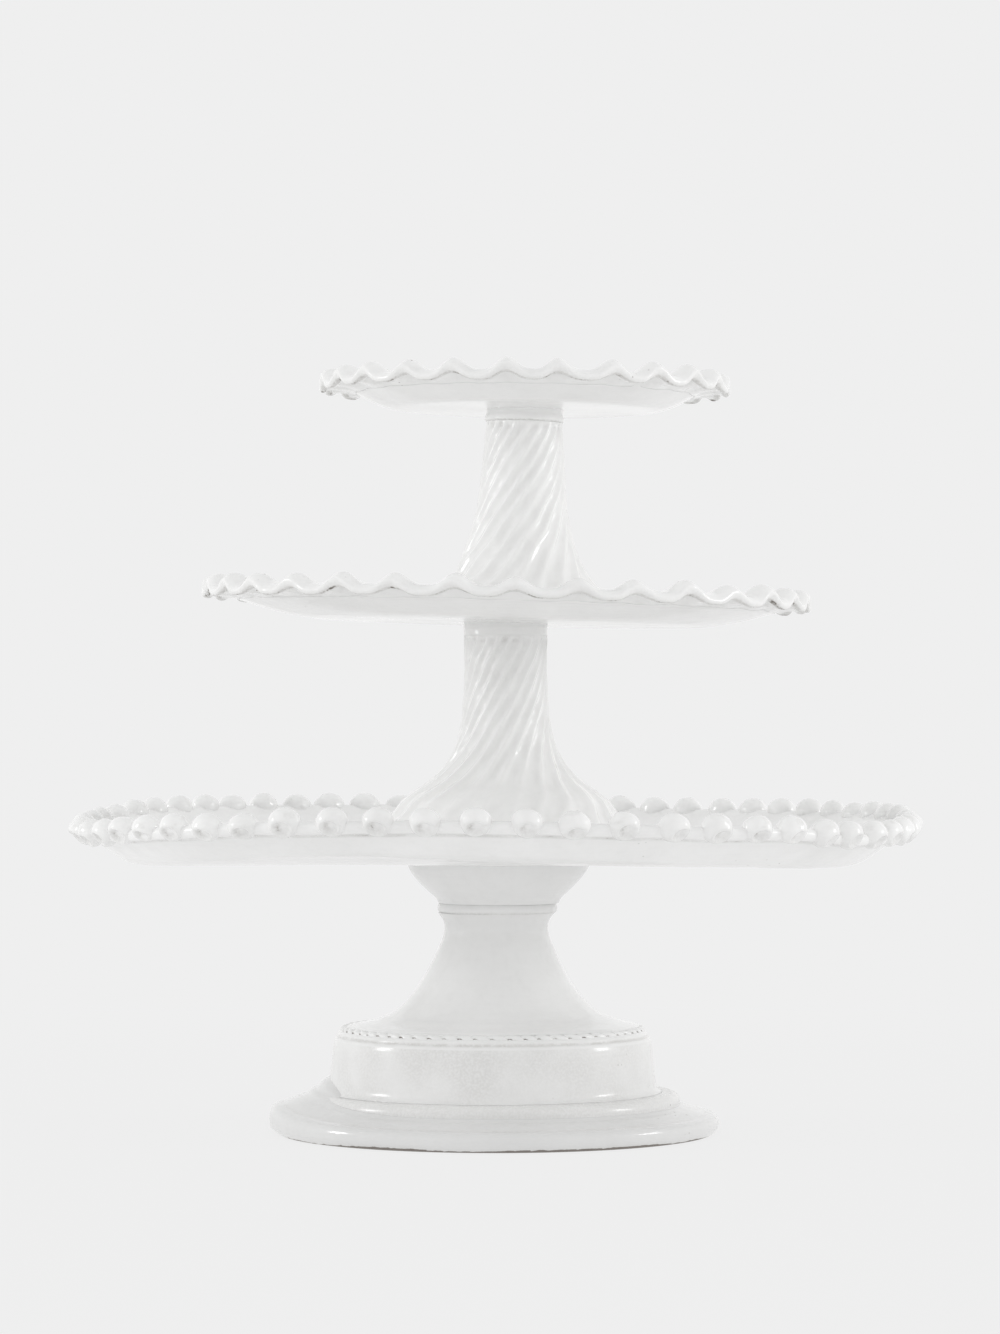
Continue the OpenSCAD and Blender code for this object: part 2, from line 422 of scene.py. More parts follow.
# Where the clay and glaze have filled the steps, in degrees, and how high at each radius
FILLED_SIDE = 180
FILLED_HALF = 34
FILL_R = [74, 77.3, 81.5, 84, 90, 97, 102.6, 104.5]
FILL_H = [15.0, 14.0, 11.3, 7.6, 6.0, 5.4, 4.6, 3.0]
foot_top = high_mm("foot_plate")[2]
foot_outer = smooth_curve(FOOT_OUTLINE, 6)
foot_profile = np.vstack([
    evenly(foot_outer, 0.7), evenly([(83, 13.4), (74, foot_top)], 1),
    evenly([(72, foot_top), (FOOT_HOLE, foot_top)], 3),
    evenly([(FOOT_HOLE, foot_top - 1), (FOOT_HOLE, 5)], 2),
    evenly([(FOOT_HOLE + 2, 5), (88, 5)], 3), [(90.4, 3.4)]])


def foot_paint(r, z, phi, i):
    p = points_at(r, z, phi)
    edge = 1.1 + 0.8 * ripple(p, 90, 11) + 0.3 * ripple(p, 6, 12)
    under = 1 - ramp(z, edge - 0.35, edge + 0.35)
    inside = (r < 91).astype(float) * (z < 11)
    # Painted shade: the crease on the foot's top is greyed, in broken patches.
    crease = 0.55 * bump_at(r, 98.2, 0.8) * (z > 8) * (0.6 + 0.6 * ripple(p, 14, 13))
    halo = 0.3 * bump_at(z, edge + 0.4, 0.6)
    return {"bare": np.maximum(under, inside), "thin": np.maximum(crease, halo)}


def foot_shape(r, z, phi, i):
    """The glaze and clay have run up one side and filled the steps there."""
    off = degrees_from(phi, FILLED_SIDE)
    fill = bump_at(off, 0, FILLED_HALF) * np.interp(r, FILL_R, FILL_H) * ramp(z, 3, 9) * (r > 73.5)
    spread = 1.6 * bump_at(off, 0, 50) * ramp(r, 88, 100) * ramp(z, 0.5, 4)
    return r + spread + 0.18 * ripple(points_at(r, z, phi), 70, 14) * (z > 0.4), z + fill


turned("foot_plate_glazed", foot_profile, "foot_plate", "large_stand", "foot_glaze",
       segments=360, shape=foot_shape, paint=foot_paint)

step_h = high_mm("foot_step")[2] - step_z
STEP_OUTLINE = [(84, 0), (86.1, 0.4), (86.1, 1.6), (86, 3.2), (85.3, 4.9), (83.9, 6.2), (82, 6.8), (80, 7)]
step_profile = np.vstack([
    evenly([(FOOT_HOLE, 0), (82, 0)], 3), evenly(smooth_curve(STEP_OUTLINE), 0.7),
    evenly([(78, step_h), (FOOT_HOLE, step_h)], 2), evenly([(FOOT_HOLE, step_h - 2), (FOOT_HOLE, 2)], 3)])
step_profile[:, 1] += step_z


def step_paint(r, z, phi, i):
    p = points_at(r, z, phi)
    # Painted shade: a dark dotted line on the step's top where the drum stands on it. The whole step is
    # also greyed a little.
    dots = ramp(ripple(p, 5.5, 22, 2), -0.1, 0.5)
    line = bump_at(r, 81.4 + 0.3 * ripple(p, 40, 21), 1.1) * (z > step_z + 5) * (0.2 + 0.8 * dots)
    inside = (r < FOOT_HOLE + 2).astype(float)
    return {"bare": np.maximum(0.2 * line * dots, inside), "thin": np.maximum(0.9 * line, 0.36)}


turned("foot_step_glazed", step_profile, "foot_step", "large_stand", "glaze",
       segments=360, shape=hand_made(23, 0.22), paint=step_paint)

drum_h = high_mm("foot_drum")[2] - drum_z
DRUM_SHIFT = -1.6
DRUM_BORE = 69.3
DRUM_HOLE = 44.5
ROOF_T = 7
SHOULDER_R = 10.0
GROOVE_ANGLE = 33.0
shoulder_cr = high_mm("foot_drum")[0] - 1.8 - SHOULDER_R
shoulder_cz = drum_h - SHOULDER_R
drum_wall = smooth_curve([(79.4, 0), (77.6, 0.8), (76.5, 2.6), (75.9, 8), (74.6, shoulder_cz)], 10)
drum_profile = np.vstack([
    [(DRUM_BORE, 0)], evenly(drum_wall, 1.2),
    evenly(arc(shoulder_cr, shoulder_cz, SHOULDER_R, 3, 90, 40), 0.5),
    evenly([(62, drum_h), (DRUM_HOLE, drum_h)], 2),
    evenly([(DRUM_HOLE, drum_h - 2), (DRUM_HOLE, drum_h - ROOF_T)], 2.5),
    evenly([(47, drum_h - ROOF_T), (64.3, drum_h - ROOF_T)], 3),
    evenly([(66, drum_h - 8.7), (DRUM_BORE, drum_h - 12)], 2),
    evenly([(DRUM_BORE, drum_h - 14), (DRUM_BORE, 2)], 3)])


def shoulder_angle(r, z):
    return np.degrees(np.arctan2(z - shoulder_cz, r - shoulder_cr))


def drum_shape(r, z, phi, i):
    p = points_at(r, z, phi)
    out = r > shoulder_cr - 1
    cut = np.where(out, 0.45 * bump_at(shoulder_angle(r, z), GROOVE_ANGLE + ripple(p, 30, 31), 5), 0)
    a = np.radians(shoulder_angle(r, z))
    wave = np.where(out, 0.22, 0.0) * ripple(p, 50, 32)
    return r - cut * np.cos(a) + wave, z - cut * np.sin(a)


def drum_paint(r, z, phi, i):
    p = points_at(r, z + drum_z, phi)
    a = shoulder_angle(r, z)
    out = r > shoulder_cr - 1
    # Painted shade: the groove under the beads is greyed, and darkened towards clay where it is broken.
    groove = bump_at(a, GROOVE_ANGLE + ripple(p, 30, 31), 4.2) * out
    broken = ramp(ripple(p, 9, 33, 2), -0.9, 0.3)
    inside = ((r < DRUM_BORE + 0.7) & (z < drum_h - ROOF_T + 1)) | (r < DRUM_HOLE + 1)
    greying = 0.38 * ramp(ripple(p, 45, 34), -1.2, 0.8) * (a < 20)
    return {"bare": np.where(inside, 1.0, 0.22 * groove * broken),
            "thin": np.maximum(groove * (0.4 + 0.5 * broken), greying)}


DRUM = placed(DRUM_SHIFT, drum_z)
turned("foot_drum_glazed", drum_profile, "foot_drum", "large_stand", "glaze", DRUM,
       segments=360, shape=drum_shape, paint=drum_paint)

# Rope of beads on the shoulder, pressed into one ring with slanted notches
BEADS = 60
ROPE_SUNK = 0.5
bead_r = (high_mm("foot_bead_ring")[2] - low_mm("foot_bead_ring")[2]) / 2
rope_r = high_mm("foot_bead_ring")[0] - bead_r
rope_z = (high_mm("foot_bead_ring")[2] + low_mm("foot_bead_ring")[2]) / 2
rope_profile = arc(rope_r, rope_z, bead_r, -180, 180, 29)[:-1]


def notch(r, z, phi):
    around = np.arctan2(z - rope_z, r - rope_r)
    jitter = 0.5 * ripple(points_at(r, z, phi), 26, 41, 2)
    wave = 0.5 + 0.5 * np.cos(BEADS * phi + 1.3 * around + jitter)
    return wave**3


def rope_shape(r, z, phi, i):
    depth = 0.1 + 0.26 * notch(r, z, phi) + 0.05 * ripple(points_at(r, z, phi), 7, 42)
    return rope_r + (r - rope_r) * (1 - depth), rope_z - ROPE_SUNK + 0.8 * (z - rope_z) * (1 - depth)


def rope_paint(r, z, phi, i):
    # Painted shade: the mouths of the notches are darkened towards clay, as a row of dark slanted dots.
    cut = notch(r, z, phi)
    around = np.degrees(np.arctan2(z - rope_z, r - rope_r))
    mouth = bump_at(around, -8, 32)
    chance = 0.9 + 0.35 * ripple(points_at(r, z, phi), 24, 43)
    dot = ramp(cut, 0.35, 0.75) * mouth * chance
    return {"bare": 0.85 * dot, "thin": dot}


turned("foot_beads_glazed", rope_profile, "foot_bead_ring", "large_stand", "glaze",
       placed(DRUM_SHIFT, 0), segments=1440, shape=rope_shape, paint=rope_paint)

# ---------------------------------------------------------------------------------------------
# Stem, its ring and the collar
# ---------------------------------------------------------------------------------------------

WALL = 7.0
EDGE = 0.07
COLLAR_SHIFT = 1.1


def shell_profile(node, matrix, step):
    """Closed section of a hollow turned piece, from the CAD node's own outline."""
    z, r = outline_of(node, matrix)
    outer = evenly(smooth_curve(np.column_stack([r, z]), 4), step)
    near_ends = [outer[0] + EDGE * (outer[1] - outer[0]), outer[-1] + EDGE * (outer[-2] - outer[-1])]
    outer = np.vstack([outer[:1], near_ends[:1], outer[1:-1], near_ends[1:], outer[-1:]])
    top = outer[-1, 1]
    inner = inset_curve(outer, WALL)
    inner = inner[(inner[:, 1] > outer[0, 1] + 0.3) & (inner[:, 1] < top - 0.3)]
    inner = np.vstack([[(inner[0, 0], outer[0, 1])], inner, [(inner[-1, 0], top)]])
    bottom = evenly([inner[0], outer[0]], 2)[1:-1]
    return np.vstack([bottom, outer, inner[::-1]]), len(bottom), len(outer)


def shell(name, node, body, slot, matrix, shape, paint, segments=288, step=1.4, place=None):
    """A hollow turned piece. shape and paint are told which points are outside."""
    profile, start, count = shell_profile(node, matrix, step)

    def outside(i):
        return (i >= start) & (i < start + count)

    turned(
        name, profile, node, body, slot, place or matrix, segments,
        lambda r, z, phi, i: shape(r, z, phi, outside(i)),
        lambda r, z, phi, i: paint(r, z, phi, outside(i)),
    )


def stem_shape(r, z, phi, out):
    p = points_at(r, z, phi)
    rings = 0.05 * np.sin(z * 2.1) + 0.04 * np.sin(z * 3.7 + 1)
    foot = 5.6 * np.clip(1 - (z - stem_z) / 2.6, 0, 1) ** 2
    neck = 1.9 * bump_at(z, neck_ring_z, 2.2)
    r = r + out * (0.3 * ripple(p, 55, 51) + rings + foot + neck)
    over = np.clip(r - shoulder_cr, 0, 0.9 * SHOULDER_R)
    return r, z - out * (SHOULDER_R - np.sqrt(SHOULDER_R**2 - over**2))


def stem_paint(r, z, phi, out):
    p = points_at(r, z, phi)
    top = bump_at(z, neck_ring_z - 0.1, 0.6) * out * (0.8 + 0.3 * ripple(p, 12, 52))
    return {"bare": np.where(out, 0, 0.9), "thin": 0.12 * top}


shell("stem_glazed", "stem", "large_stand", "glaze", LARGE, stem_shape, stem_paint)

ring_low, ring_high = low_mm("neck_ring")[2], high_mm("neck_ring")[2]
ring_half = (ring_high - ring_low) / 2
ring_r = high_mm("neck_ring")[0]
RING_BORE = 17.2
ring_outer = smooth_curve([
    (ring_r - 0.95, ring_low), (ring_r - 0.4, ring_low + 0.8), (ring_r - 0.1, ring_low + 1.9),
    (ring_r - 0.15, ring_high - 1.6), (ring_r - 0.5, ring_high - 0.6), (ring_r - 0.9, ring_high)])
ring_profile = np.vstack([
    evenly([(RING_BORE, ring_low), (ring_r - 1.2, ring_low)], 1.8), evenly(ring_outer, 0.3),
    evenly([(ring_r - 1.2, ring_high), (RING_BORE, ring_high)], 1.8), [(RING_BORE, ring_low + ring_half)]])


def ring_paint(r, z, phi, i):
    low = 0.5 * bump_at(z, ring_low + 0.2, 0.6) * (r > 23)
    high = 0.2 * bump_at(z, ring_high - 0.2, 0.5) * (r > 23)
    return {"bare": np.where(r < RING_BORE + 0.8, 0.9, 0), "thin": np.maximum(low, high)}


turned("neck_ring_glazed", ring_profile, "neck_ring", "large_stand", "glaze",
       placed(COLLAR_SHIFT / 2, 0), 240, shape=hand_made(61, 0.25, 30), paint=ring_paint)


def collar_shape(r, z, phi, out):
    return r + out * (0.3 * ripple(points_at(r, z, phi), 40, 71) + 1.0 * bump_at(z, collar_z, 1.5)), z


def collar_paint(r, z, phi, out):
    p = points_at(r, z, phi)
    # Painted shade: the top of the collar, just under the plate, is greyed and darkened in patches.
    under = ramp(z, large_z - 3.2, large_z - 0.6) * out
    patches = ramp(ripple(p, 9, 72, 3), 0.0, 0.6)
    return {"bare": np.where(out, 0.4 * under * patches, 0.9),
            "thin": 0.85 * under * (0.2 + 0.8 * patches)}


shell("collar_glazed", "collar", "large_stand", "glaze", LARGE, collar_shape, collar_paint, step=1.0,
      place=placed(COLLAR_SHIFT, 0))

# ---------------------------------------------------------------------------------------------
# Large plate and its pearls
# ---------------------------------------------------------------------------------------------

RIM_R = 193.4
COLLAR_R = 64
# How far the rim has warped in the kiln, as (degrees round, height)
SAG = [(-180, -3.5), (-163, -4.0), (-150, -2.5), (-138, -0.3), (-124, 2.0), (-112, 3.3), (-90, 3.7),
       (-73, 1.9), (-60, 0.4), (-48, -0.6), (-34, -3.9), (-17, -3.6), (0, -1.0), (15, 1.0), (45, 1.2),
       (66, 1.4), (90, 2.4), (115, 3.3), (135, 3.7), (150, 3.1), (162, 0.2), (172, -1.8), (180, -3.5)]
sag_curve = smooth_curve(SAG, 6)
LIFTED_SIDE = -115


def large_warp(r, phi):
    """How much higher or lower the plate is than a true one."""
    s = np.clip((r - COLLAR_R) / (RIM_R - COLLAR_R), 0, 1.2)
    return np.interp(degrees_from(phi, 0), sag_curve[:, 0], sag_curve[:, 1]) * s**2


UNDER_LARGE = [(0, 0), (40, 0), (90, 0), (140, 0), (160, 0.1), (168, 0.7), (173.5, 2.4), (179, 6.2),
               (184.5, 10.6), (188.5, 12.6)]
LIP_LARGE = [(191.4, 12.6), (193.3, 13.6), (194.2, 15.6), (193.2, 17.6), (190.6, 18.3), (187.8, 16.9)]
OVER_LARGE = [(184, 14.0), (177, 10.3), (170, 7.7), (160, 6.6), (140, 6.5), (90, 6.5), (40, 6.5), (0, 6.5)]
large_profile = np.vstack([
    evenly(smooth_curve(UNDER_LARGE[:5]), 6)[:-1], evenly(smooth_curve(UNDER_LARGE[4:]), 1.1)[:-1],
    evenly(smooth_curve([UNDER_LARGE[-1]] + LIP_LARGE + OVER_LARGE[:1]), 0.6)[:-1],
    evenly(smooth_curve(OVER_LARGE[:5]), 1.3)[:-1], evenly(smooth_curve(OVER_LARGE[4:]), 5)])
large_profile[:, 1] += large_z


def large_plate_shape(r, z, phi, i):
    p = points_at(r, z, phi)
    wall = ramp(r, 150, 185)
    lifted = 2.3 * bump_at(degrees_from(phi, LIFTED_SIDE), 0, 25) * bump_at(r, 166, 12)
    return (r + 0.45 * wall * ripple(p, 75, 81),
            z + large_warp(r, phi) + lifted + ramp(r, 66, 120) * 0.35 * ripple(p, 90, 82))


def large_plate_paint(r, z, phi, i):
    p = points_at(r, z, phi)
    local = z - large_z
    # Painted shade: a broken dark line under the lip, where the lip overhangs the wall.
    below = (local < 13.2) & (r > 184)
    line = bump_at(local, 12.1 + 0.3 * ripple(p, 30, 83), 0.45) * below * (0.7 + 0.45 * ripple(p, 12, 85))
    corner = 0.15 * bump_at(r, 165, 5) * (local < 2) * (0.7 + 0.5 * ripple(p, 40, 84))
    return {"bare": 0.5 * line, "thin": np.maximum(line, corner)}


turned("large_plate_glazed", large_profile, "large_plate", "large_stand", "plate_glaze",
       segments=480, shape=large_plate_shape, paint=large_plate_paint)

PEARLS = 60
FIRST_PEARL = FRONT - 0.0413
PEARL_HALF = np.array([6.4, 7.6, 6.4])
CROWDING = 0.067
pearl_z = (low_mm("large_plate_pearls")[2] + high_mm("large_plate_pearls")[2]) / 2 + 1.1
SCOOP_DOWN = math.radians(46)
SCOOP_AIM = np.array([math.cos(SCOOP_DOWN), 0.12, -math.sin(SCOOP_DOWN)])
SCOOP_AIM /= np.linalg.norm(SCOOP_AIM)
SCOOP_HALF = 46.0
SCOOP_DEEP = 3.0


def ball(rows, cols):
    """Unit ball whose poles lie on x, as points and faces, facing out."""
    th = np.linspace(0, math.pi, rows)[1:-1]
    ph = np.linspace(0, 2 * math.pi, cols, endpoint=False)
    t, p = np.meshgrid(th, ph, indexing="ij")
    grid = np.stack([np.cos(t), np.sin(t) * np.cos(p), np.sin(t) * np.sin(p)], -1).reshape(-1, 3)
    verts = np.vstack([grid, [[1, 0, 0], [-1, 0, 0]]])
    n = len(th)
    faces = []
    for a in range(n - 1):
        for b in range(cols):
            c = (b + 1) % cols
            faces.append((a * cols + b, (a + 1) * cols + b, (a + 1) * cols + c, a * cols + c))
    for b in range(cols):
        c = (b + 1) % cols
        faces.append((len(grid), b, c))
        faces.append((len(grid) + 1, (n - 1) * cols + c, (n - 1) * cols + b))
    return verts, faces


def pearls():
    """Round pearls on the rim, each scooped out on its outer side and no two quite alike, with shade
    painted into the scoops and on their lower sides.
    """
    rng = np.random.default_rng(7)
    unit, unit_faces = ball(26, 32)
    verts, faces, bare, thin = [], [], [], []
    for k in range(PEARLS):
        angle = FIRST_PEARL + 2 * math.pi * k / PEARLS
        angle += CROWDING * math.cos(angle) + rng.normal(0, 0.0035)
        half = PEARL_HALF * (1 + rng.normal(0, 0.03, 3)) * [1, 1 + CROWDING * math.sin(angle), 1]
        aim = SCOOP_AIM + rng.normal(0, 0.09, 3)
        aim /= np.linalg.norm(aim)
        off = np.degrees(np.arccos(np.clip(unit @ aim, -1, 1)))
        reach = SCOOP_HALF * (1 + rng.normal(0, 0.06))
        hollow = 1 - ramp(off, 0.30 * reach, reach)
        depth = SCOOP_DEEP * (1 + rng.normal(0, 0.12))
        local = unit * half
        local = local - aim * (hollow * depth)[:, None]
        local += unit * (0.25 * ripple(unit * 6.5 + 40 * k, 9, 90 + k))[:, None]
        lean = Matrix.Rotation(math.radians(rng.normal(-3, 4)), 3, "Y")
        local = local @ np.array(lean).T
        c, s = math.cos(angle), math.sin(angle)
        turn = np.array([[c, -s, 0], [s, c, 0], [0, 0, 1]])
        height = pearl_z + float(large_warp(RIM_R, angle)) + rng.normal(0, 0.3)
        centre = np.array([RIM_R - 0.4, 0, height])
        start = k * len(unit)
        verts.append((local + centre) @ turn.T)
        faces += [tuple(start + v for v in f) for f in unit_faces]
        edge = bump_at(off, reach * 0.93, 7)
        # Painted shade: the lower side of each pearl is greyed, and one side of its scoop is greyed and
        # darkened towards clay.
        low = ramp(-unit[:, 2], 0.45, 0.85)
        facing = ramp(unit[:, 0], -0.2, 0.2)
        shade = ramp(aim[1] - unit[:, 1], -0.1, 0.35)
        bare.append(facing * 0.44 * hollow * shade)
        thin.append(facing * np.maximum(0.15 * edge, np.maximum(0.25 * low, 0.75 * hollow * shade)))
    out = np.vstack(verts)
    spots = 0.25 * ramp(ripple(out, 9, 91, 2), 0.5, 0.9)
    marks = {"bare": np.concatenate(bare), "thin": np.maximum(np.concatenate(thin), spots)}
    store("pearls_glazed", out, faces, marks, LARGE, "large_plate_pearls", "large_stand", "rim_glaze")


pearls()

# ---------------------------------------------------------------------------------------------
# Fluted columns
# ---------------------------------------------------------------------------------------------

TUCKED_SIDE = 180
FLUTE_GAP = 0.4


def fluted(name, node, body, matrix, count, slope, first, seed, slim, tuck):
    """A hollow trumpet with twisted flutes, slimmed at the waist and tucked in at one side of its foot."""
    z_rows, r_rows = outline_of(node, matrix)
    top = z_rows.max()
    zs = np.linspace(0, top, 200)
    radii = np.interp((zs[1:] + zs[:-1]) / 2, z_rows, r_rows)
    twist = np.r_[0, np.cumsum(slope / radii * np.diff(zs))]

    def ridge(r, z, phi):
        p = points_at(r, z, phi)
        turn = np.interp(z, zs, twist)
        a = count * (phi - turn - first) + 0.6 * ripple(p, 45, seed, 2)
        fade = 1 - ramp(z, top - FLUTE_GAP - 2.2, top - FLUTE_GAP)
        fade = fade * ramp(z, 1.0, 9.0)
        return (0.5 + 0.5 * np.cos(a)) ** 1.6, fade

    def shape(r, z, phi, out):
        g, fade = ridge(r, z, phi)
        depth = np.interp(r, [20, 30, 60], [1.35, 1.6, 1.5])
        p = points_at(r, z, phi)
        depth = depth * (1 + 0.35 * ripple(p, 16, seed + 3, 2))
        waist = slim * bump_at(z, top - 16, 12)
        sway = 0.25 * ripple(p, 40, seed + 1) * (1 - ramp(z, top - 6, top - 1))
        tucked = tuck * bump_at(degrees_from(phi, TUCKED_SIDE), 0, 55) * (1 - ramp(z, 0, 27))
        return r + out * (-(1 - g) * depth * fade - waist + sway) - tucked, z

    def paint(r, z, phi, out):
        g, _ = ridge(r, z, phi)
        p = points_at(r, z, phi)
        # Painted shade: the valleys darken where the flutes end under the band, in broken places.
        end = bump_at(z, top - FLUTE_GAP - 1.6, 2.0) * ramp(1 - g, 0.35, 0.9) * out
        chance = ramp(ripple(p, 14, seed + 2, 2), -0.2, 0.5)
        return {"bare": np.where(out, 0.36 * end * chance, 0.9), "thin": 0.5 * end * chance}

    shell(name, node, body, "column_glaze", matrix, shape, paint, segments=528, step=1.3)


fluted("medium_column_glazed", "medium_column", "medium_stand", MEDIUM, 22, 0.55, 0.02, 101, 0.5, 0)
fluted("small_column_glazed", "small_column", "small_stand", SMALL, 20, 0.62, 0.09, 111, 0, 6.0)

MEDIUM_NECK_R = 19.7
SMALL_NECK_R = 17.9
BAND_H = BAND_RISE + 1.5


def band(name, node, body, matrix, radius, seed, bead, line):
    """The plain band that runs up into the plate, with a bead and a line of painted shade at its foot."""
    inner = radius - WALL
    outer = smooth_curve([
        (radius - bead * 0.3, 0), (radius + bead * 0.75, 0.5), (radius + bead, 1.6),
        (radius + bead * 0.7, 2.8), (radius + 0.1, 3.6), (radius, 4.6), (radius, BAND_H)], 5)
    profile = np.vstack([evenly([(inner, 0), (radius - 1.5, 0)], 1.8), evenly(outer, 0.45),
                         evenly([(radius - 1.5, BAND_H), (inner, BAND_H)], 1.8), [(inner, BAND_H / 2)]])

    def paint(r, z, phi, i):
        p = points_at(r, z, phi)
        out = r > radius - 1
        # Painted shade: a greyed, slightly clay-dark line at the band's foot, under the bead.
        foot = line * bump_at(z, 0.2, 0.5) * out * (0.8 + 0.4 * ripple(p, 12, seed))
        return {"bare": np.where(r < inner + 0.5, 0.9, 0.3 * foot), "thin": foot}

    def shape(r, z, phi, i):
        return r + 0.2 * ripple(points_at(r, z, phi), 25, seed + 1) * ramp(z, 0.5, 3), z

    turned(name, profile, node, body, "column_glaze", matrix, 240, shape, paint)


band("medium_band_glazed", "medium_column_ring", "medium_stand",
     placed(medium_x, medium_band_z), MEDIUM_NECK_R - 0.1, 121, 0, 0)
band("small_band_glazed", "small_column_ring", "small_stand",
     placed(0, small_column_h, base=SMALL), SMALL_NECK_R, 131, 0.7, 0.8)

# ---------------------------------------------------------------------------------------------
# Medium and small plates with their ruffled rims
# ---------------------------------------------------------------------------------------------


def dish(name, node, body, matrix, flat_r, end, low, seed):
    """A shallow plate that ends inside its ruffled rim, whose lower side starts at (end, low)."""
    span = end - flat_r
    rise = low - 0.2
    under = [(0, 0), (flat_r * 0.5, 0), (flat_r, 0), (flat_r + span * 0.3, rise * 0.12),
             (flat_r + span * 0.65, rise * 0.5), (end, low)]
    lip = [(end + 1.6, low + 1.1), (end + 2.3, low + 2.2), (end + 1.6, low + 3.3)]
    over = [(end - 0.5, low + 3.9), (flat_r + span * 0.55, rise * 0.55 + PLATE_T * 0.72),
            (flat_r + span * 0.2, PLATE_T + 0.4), (flat_r, PLATE_T), (flat_r * 0.5, PLATE_T), (0, PLATE_T)]
    profile = np.vstack([
        evenly(under[:3], 5)[:-1], evenly(smooth_curve(under[2:]), 1.2)[:-1],
        evenly(smooth_curve([under[-1]] + lip + over[:1]), 0.7)[:-1],
        evenly(smooth_curve(over[:4]), 1.4)[:-1], evenly(over[3:], 5)])

    def shape(r, z, phi, i):
        p = points_at(r, z, phi)
        wall = ramp(r, flat_r * 0.8, end)
        return r + 0.3 * wall * ripple(p, 60, seed), z + 0.3 * ramp(r, 50, 90) * ripple(p, 80, seed + 1)

    turned(name, profile, node, body, "plate_glaze", matrix, 384, shape)


# Middle line of the rim's section, in the valleys and at the peaks of its lobes
VALLEY = [(-13, -1.0), (-9, 0.2), (-5, 0.6), (-1.5, 0.8), (1.5, 0.4), (3.2, -0.6)]
PEAK = [(-13, -1.0), (-9.5, 1.5), (-6.5, 3.8), (-3, 5.4), (0.6, 5.4), (2.9, 4.1)]
SHEET_T = 4.2
LOBE_SWELL = 1.0


def ruffle(name, node, body, matrix, count, rim_r, mid_z, first, seed):
    """A rolled clay edge pushed up into lobes: one sheet whose section swings from valley to peak."""
    per_lobe = 26
    along, cap = 22, 8
    segments = per_lobe * count
    valley = evenly(smooth_curve(VALLEY), 0.05)
    peak = evenly(smooth_curve(PEAK), 0.05)
    s = np.linspace(0, 1, along)
    line_v = np.column_stack([np.interp(s, np.linspace(0, 1, len(valley)), valley[:, k]) for k in (0, 1)])
    line_p = np.column_stack([np.interp(s, np.linspace(0, 1, len(peak)), peak[:, k]) for k in (0, 1)])
    rng = np.random.default_rng(seed)
    height = 1 + rng.normal(0, 0.07, count)
    shift = rng.normal(0, 0.03, count)
    verts, bare, thin = [], [], []
    for u in range(segments):
        phi = 2 * math.pi * u / segments
        lobe_at = (phi - first) * count / (2 * math.pi)
        k = int(round(lobe_at)) % count
        off = lobe_at - round(lobe_at) - shift[k] * (1 - abs(2 * (lobe_at - round(lobe_at))))
        w = 0.5 + 0.5 * math.cos(2 * math.pi * off)
        w = w**1.6 * height[k]
        here = line_v + (line_p - line_v) * w
        d = np.gradient(here, axis=0)
        d /= np.linalg.norm(d, axis=1)[:, None]
        normal = np.column_stack([-d[:, 1], d[:, 0]])
        half = SHEET_T / 2 * np.interp(s, [0, 0.15, 0.8, 1], [1.0, 1.0, 0.95, 0.86])[:, None]
        swell = LOBE_SWELL * w * np.clip((s - 0.3) / 0.5, 0, 1)[:, None]
        upper, lower = here + normal * half * (1 + 0.2 * swell), here - normal * half * (1 + swell)
        a = np.linspace(-math.pi / 2, math.pi / 2, cap + 2)[1:-1]
        middle, reach = (upper[-1] + lower[-1]) / 2, np.linalg.norm(upper[-1] - lower[-1]) / 2
        round_end = middle + np.outer(np.cos(a), half[-1] * d[-1]) + reach * np.outer(np.sin(a), normal[-1])
        ring = np.vstack([lower, round_end, upper[::-1]])
        r = rim_r + ring[:, 0]
        verts.append(np.column_stack([r * math.cos(phi), r * math.sin(phi), mid_z + ring[:, 1]]))
        sl = np.r_[s, np.ones(cap), s[::-1]]
        side = np.r_[-np.ones(along), np.sin(a), np.ones(along)]
        # Painted shade: a dark, broken line on the underside of the lip, near its edge.
        shade_under_lip = np.exp(-(((sl - 0.98) / 0.04) ** 2)) * (side < -0.3)
        edge = np.exp(-((side / 0.8) ** 2)) * (sl > 0.99)
        bare.append(0.6 * shade_under_lip)
        thin.append(np.maximum(shade_under_lip, 0.2 * edge))
    grid = np.array(verts)
    nv = grid.shape[1]
    flat = grid.reshape(-1, 3)
    flat = flat + (0.3 * ripple(flat, 30, seed + 1))[:, None] * np.array([0, 0, 1])
    out = flat[:, :2] / np.linalg.norm(flat[:, :2], axis=1)[:, None]
    flat[:, :2] += out * (0.4 * ripple(flat, 22, seed + 2))[:, None]
    broken = 0.75 + 0.5 * ripple(flat, 10, seed + 3, 2)
    marks = {"bare": np.concatenate(bare) * broken, "thin": np.concatenate(thin)}
    faces = [tuple(q) for q in grid_quads(segments, nv, True)]
    store(name, flat, faces, marks, matrix, node, body, "rim_glaze")


MEDIUM_R = 145.0
SMALL_R = 98.8
LOBE_REACH = 7.4
RIM_DEPTH = 13
medium_rim = MEDIUM_R - LOBE_REACH
small_rim = SMALL_R - LOBE_REACH
dish("medium_plate_glazed", "medium_plate", "medium_stand", MEDIUM_PLATE,
     84, medium_rim - RIM_DEPTH, 7.4, 141)
ruffle("medium_rim_glazed", "medium_plate_scallops", "medium_stand", MEDIUM_PLATE, 32, medium_rim,
       10.5, FRONT + 0.031, 151)
dish("small_plate_glazed", "small_plate", "small_stand", SMALL_PLATE,
     60, small_rim - RIM_DEPTH, 6.4, 161)
ruffle("small_rim_glazed", "small_plate_scallops", "small_stand", SMALL_PLATE, 24, small_rim,
       9.5, FRONT - 0.096, 171)

# ---------------------------------------------------------------------------------------------
# Camera, floor and light
# ---------------------------------------------------------------------------------------------

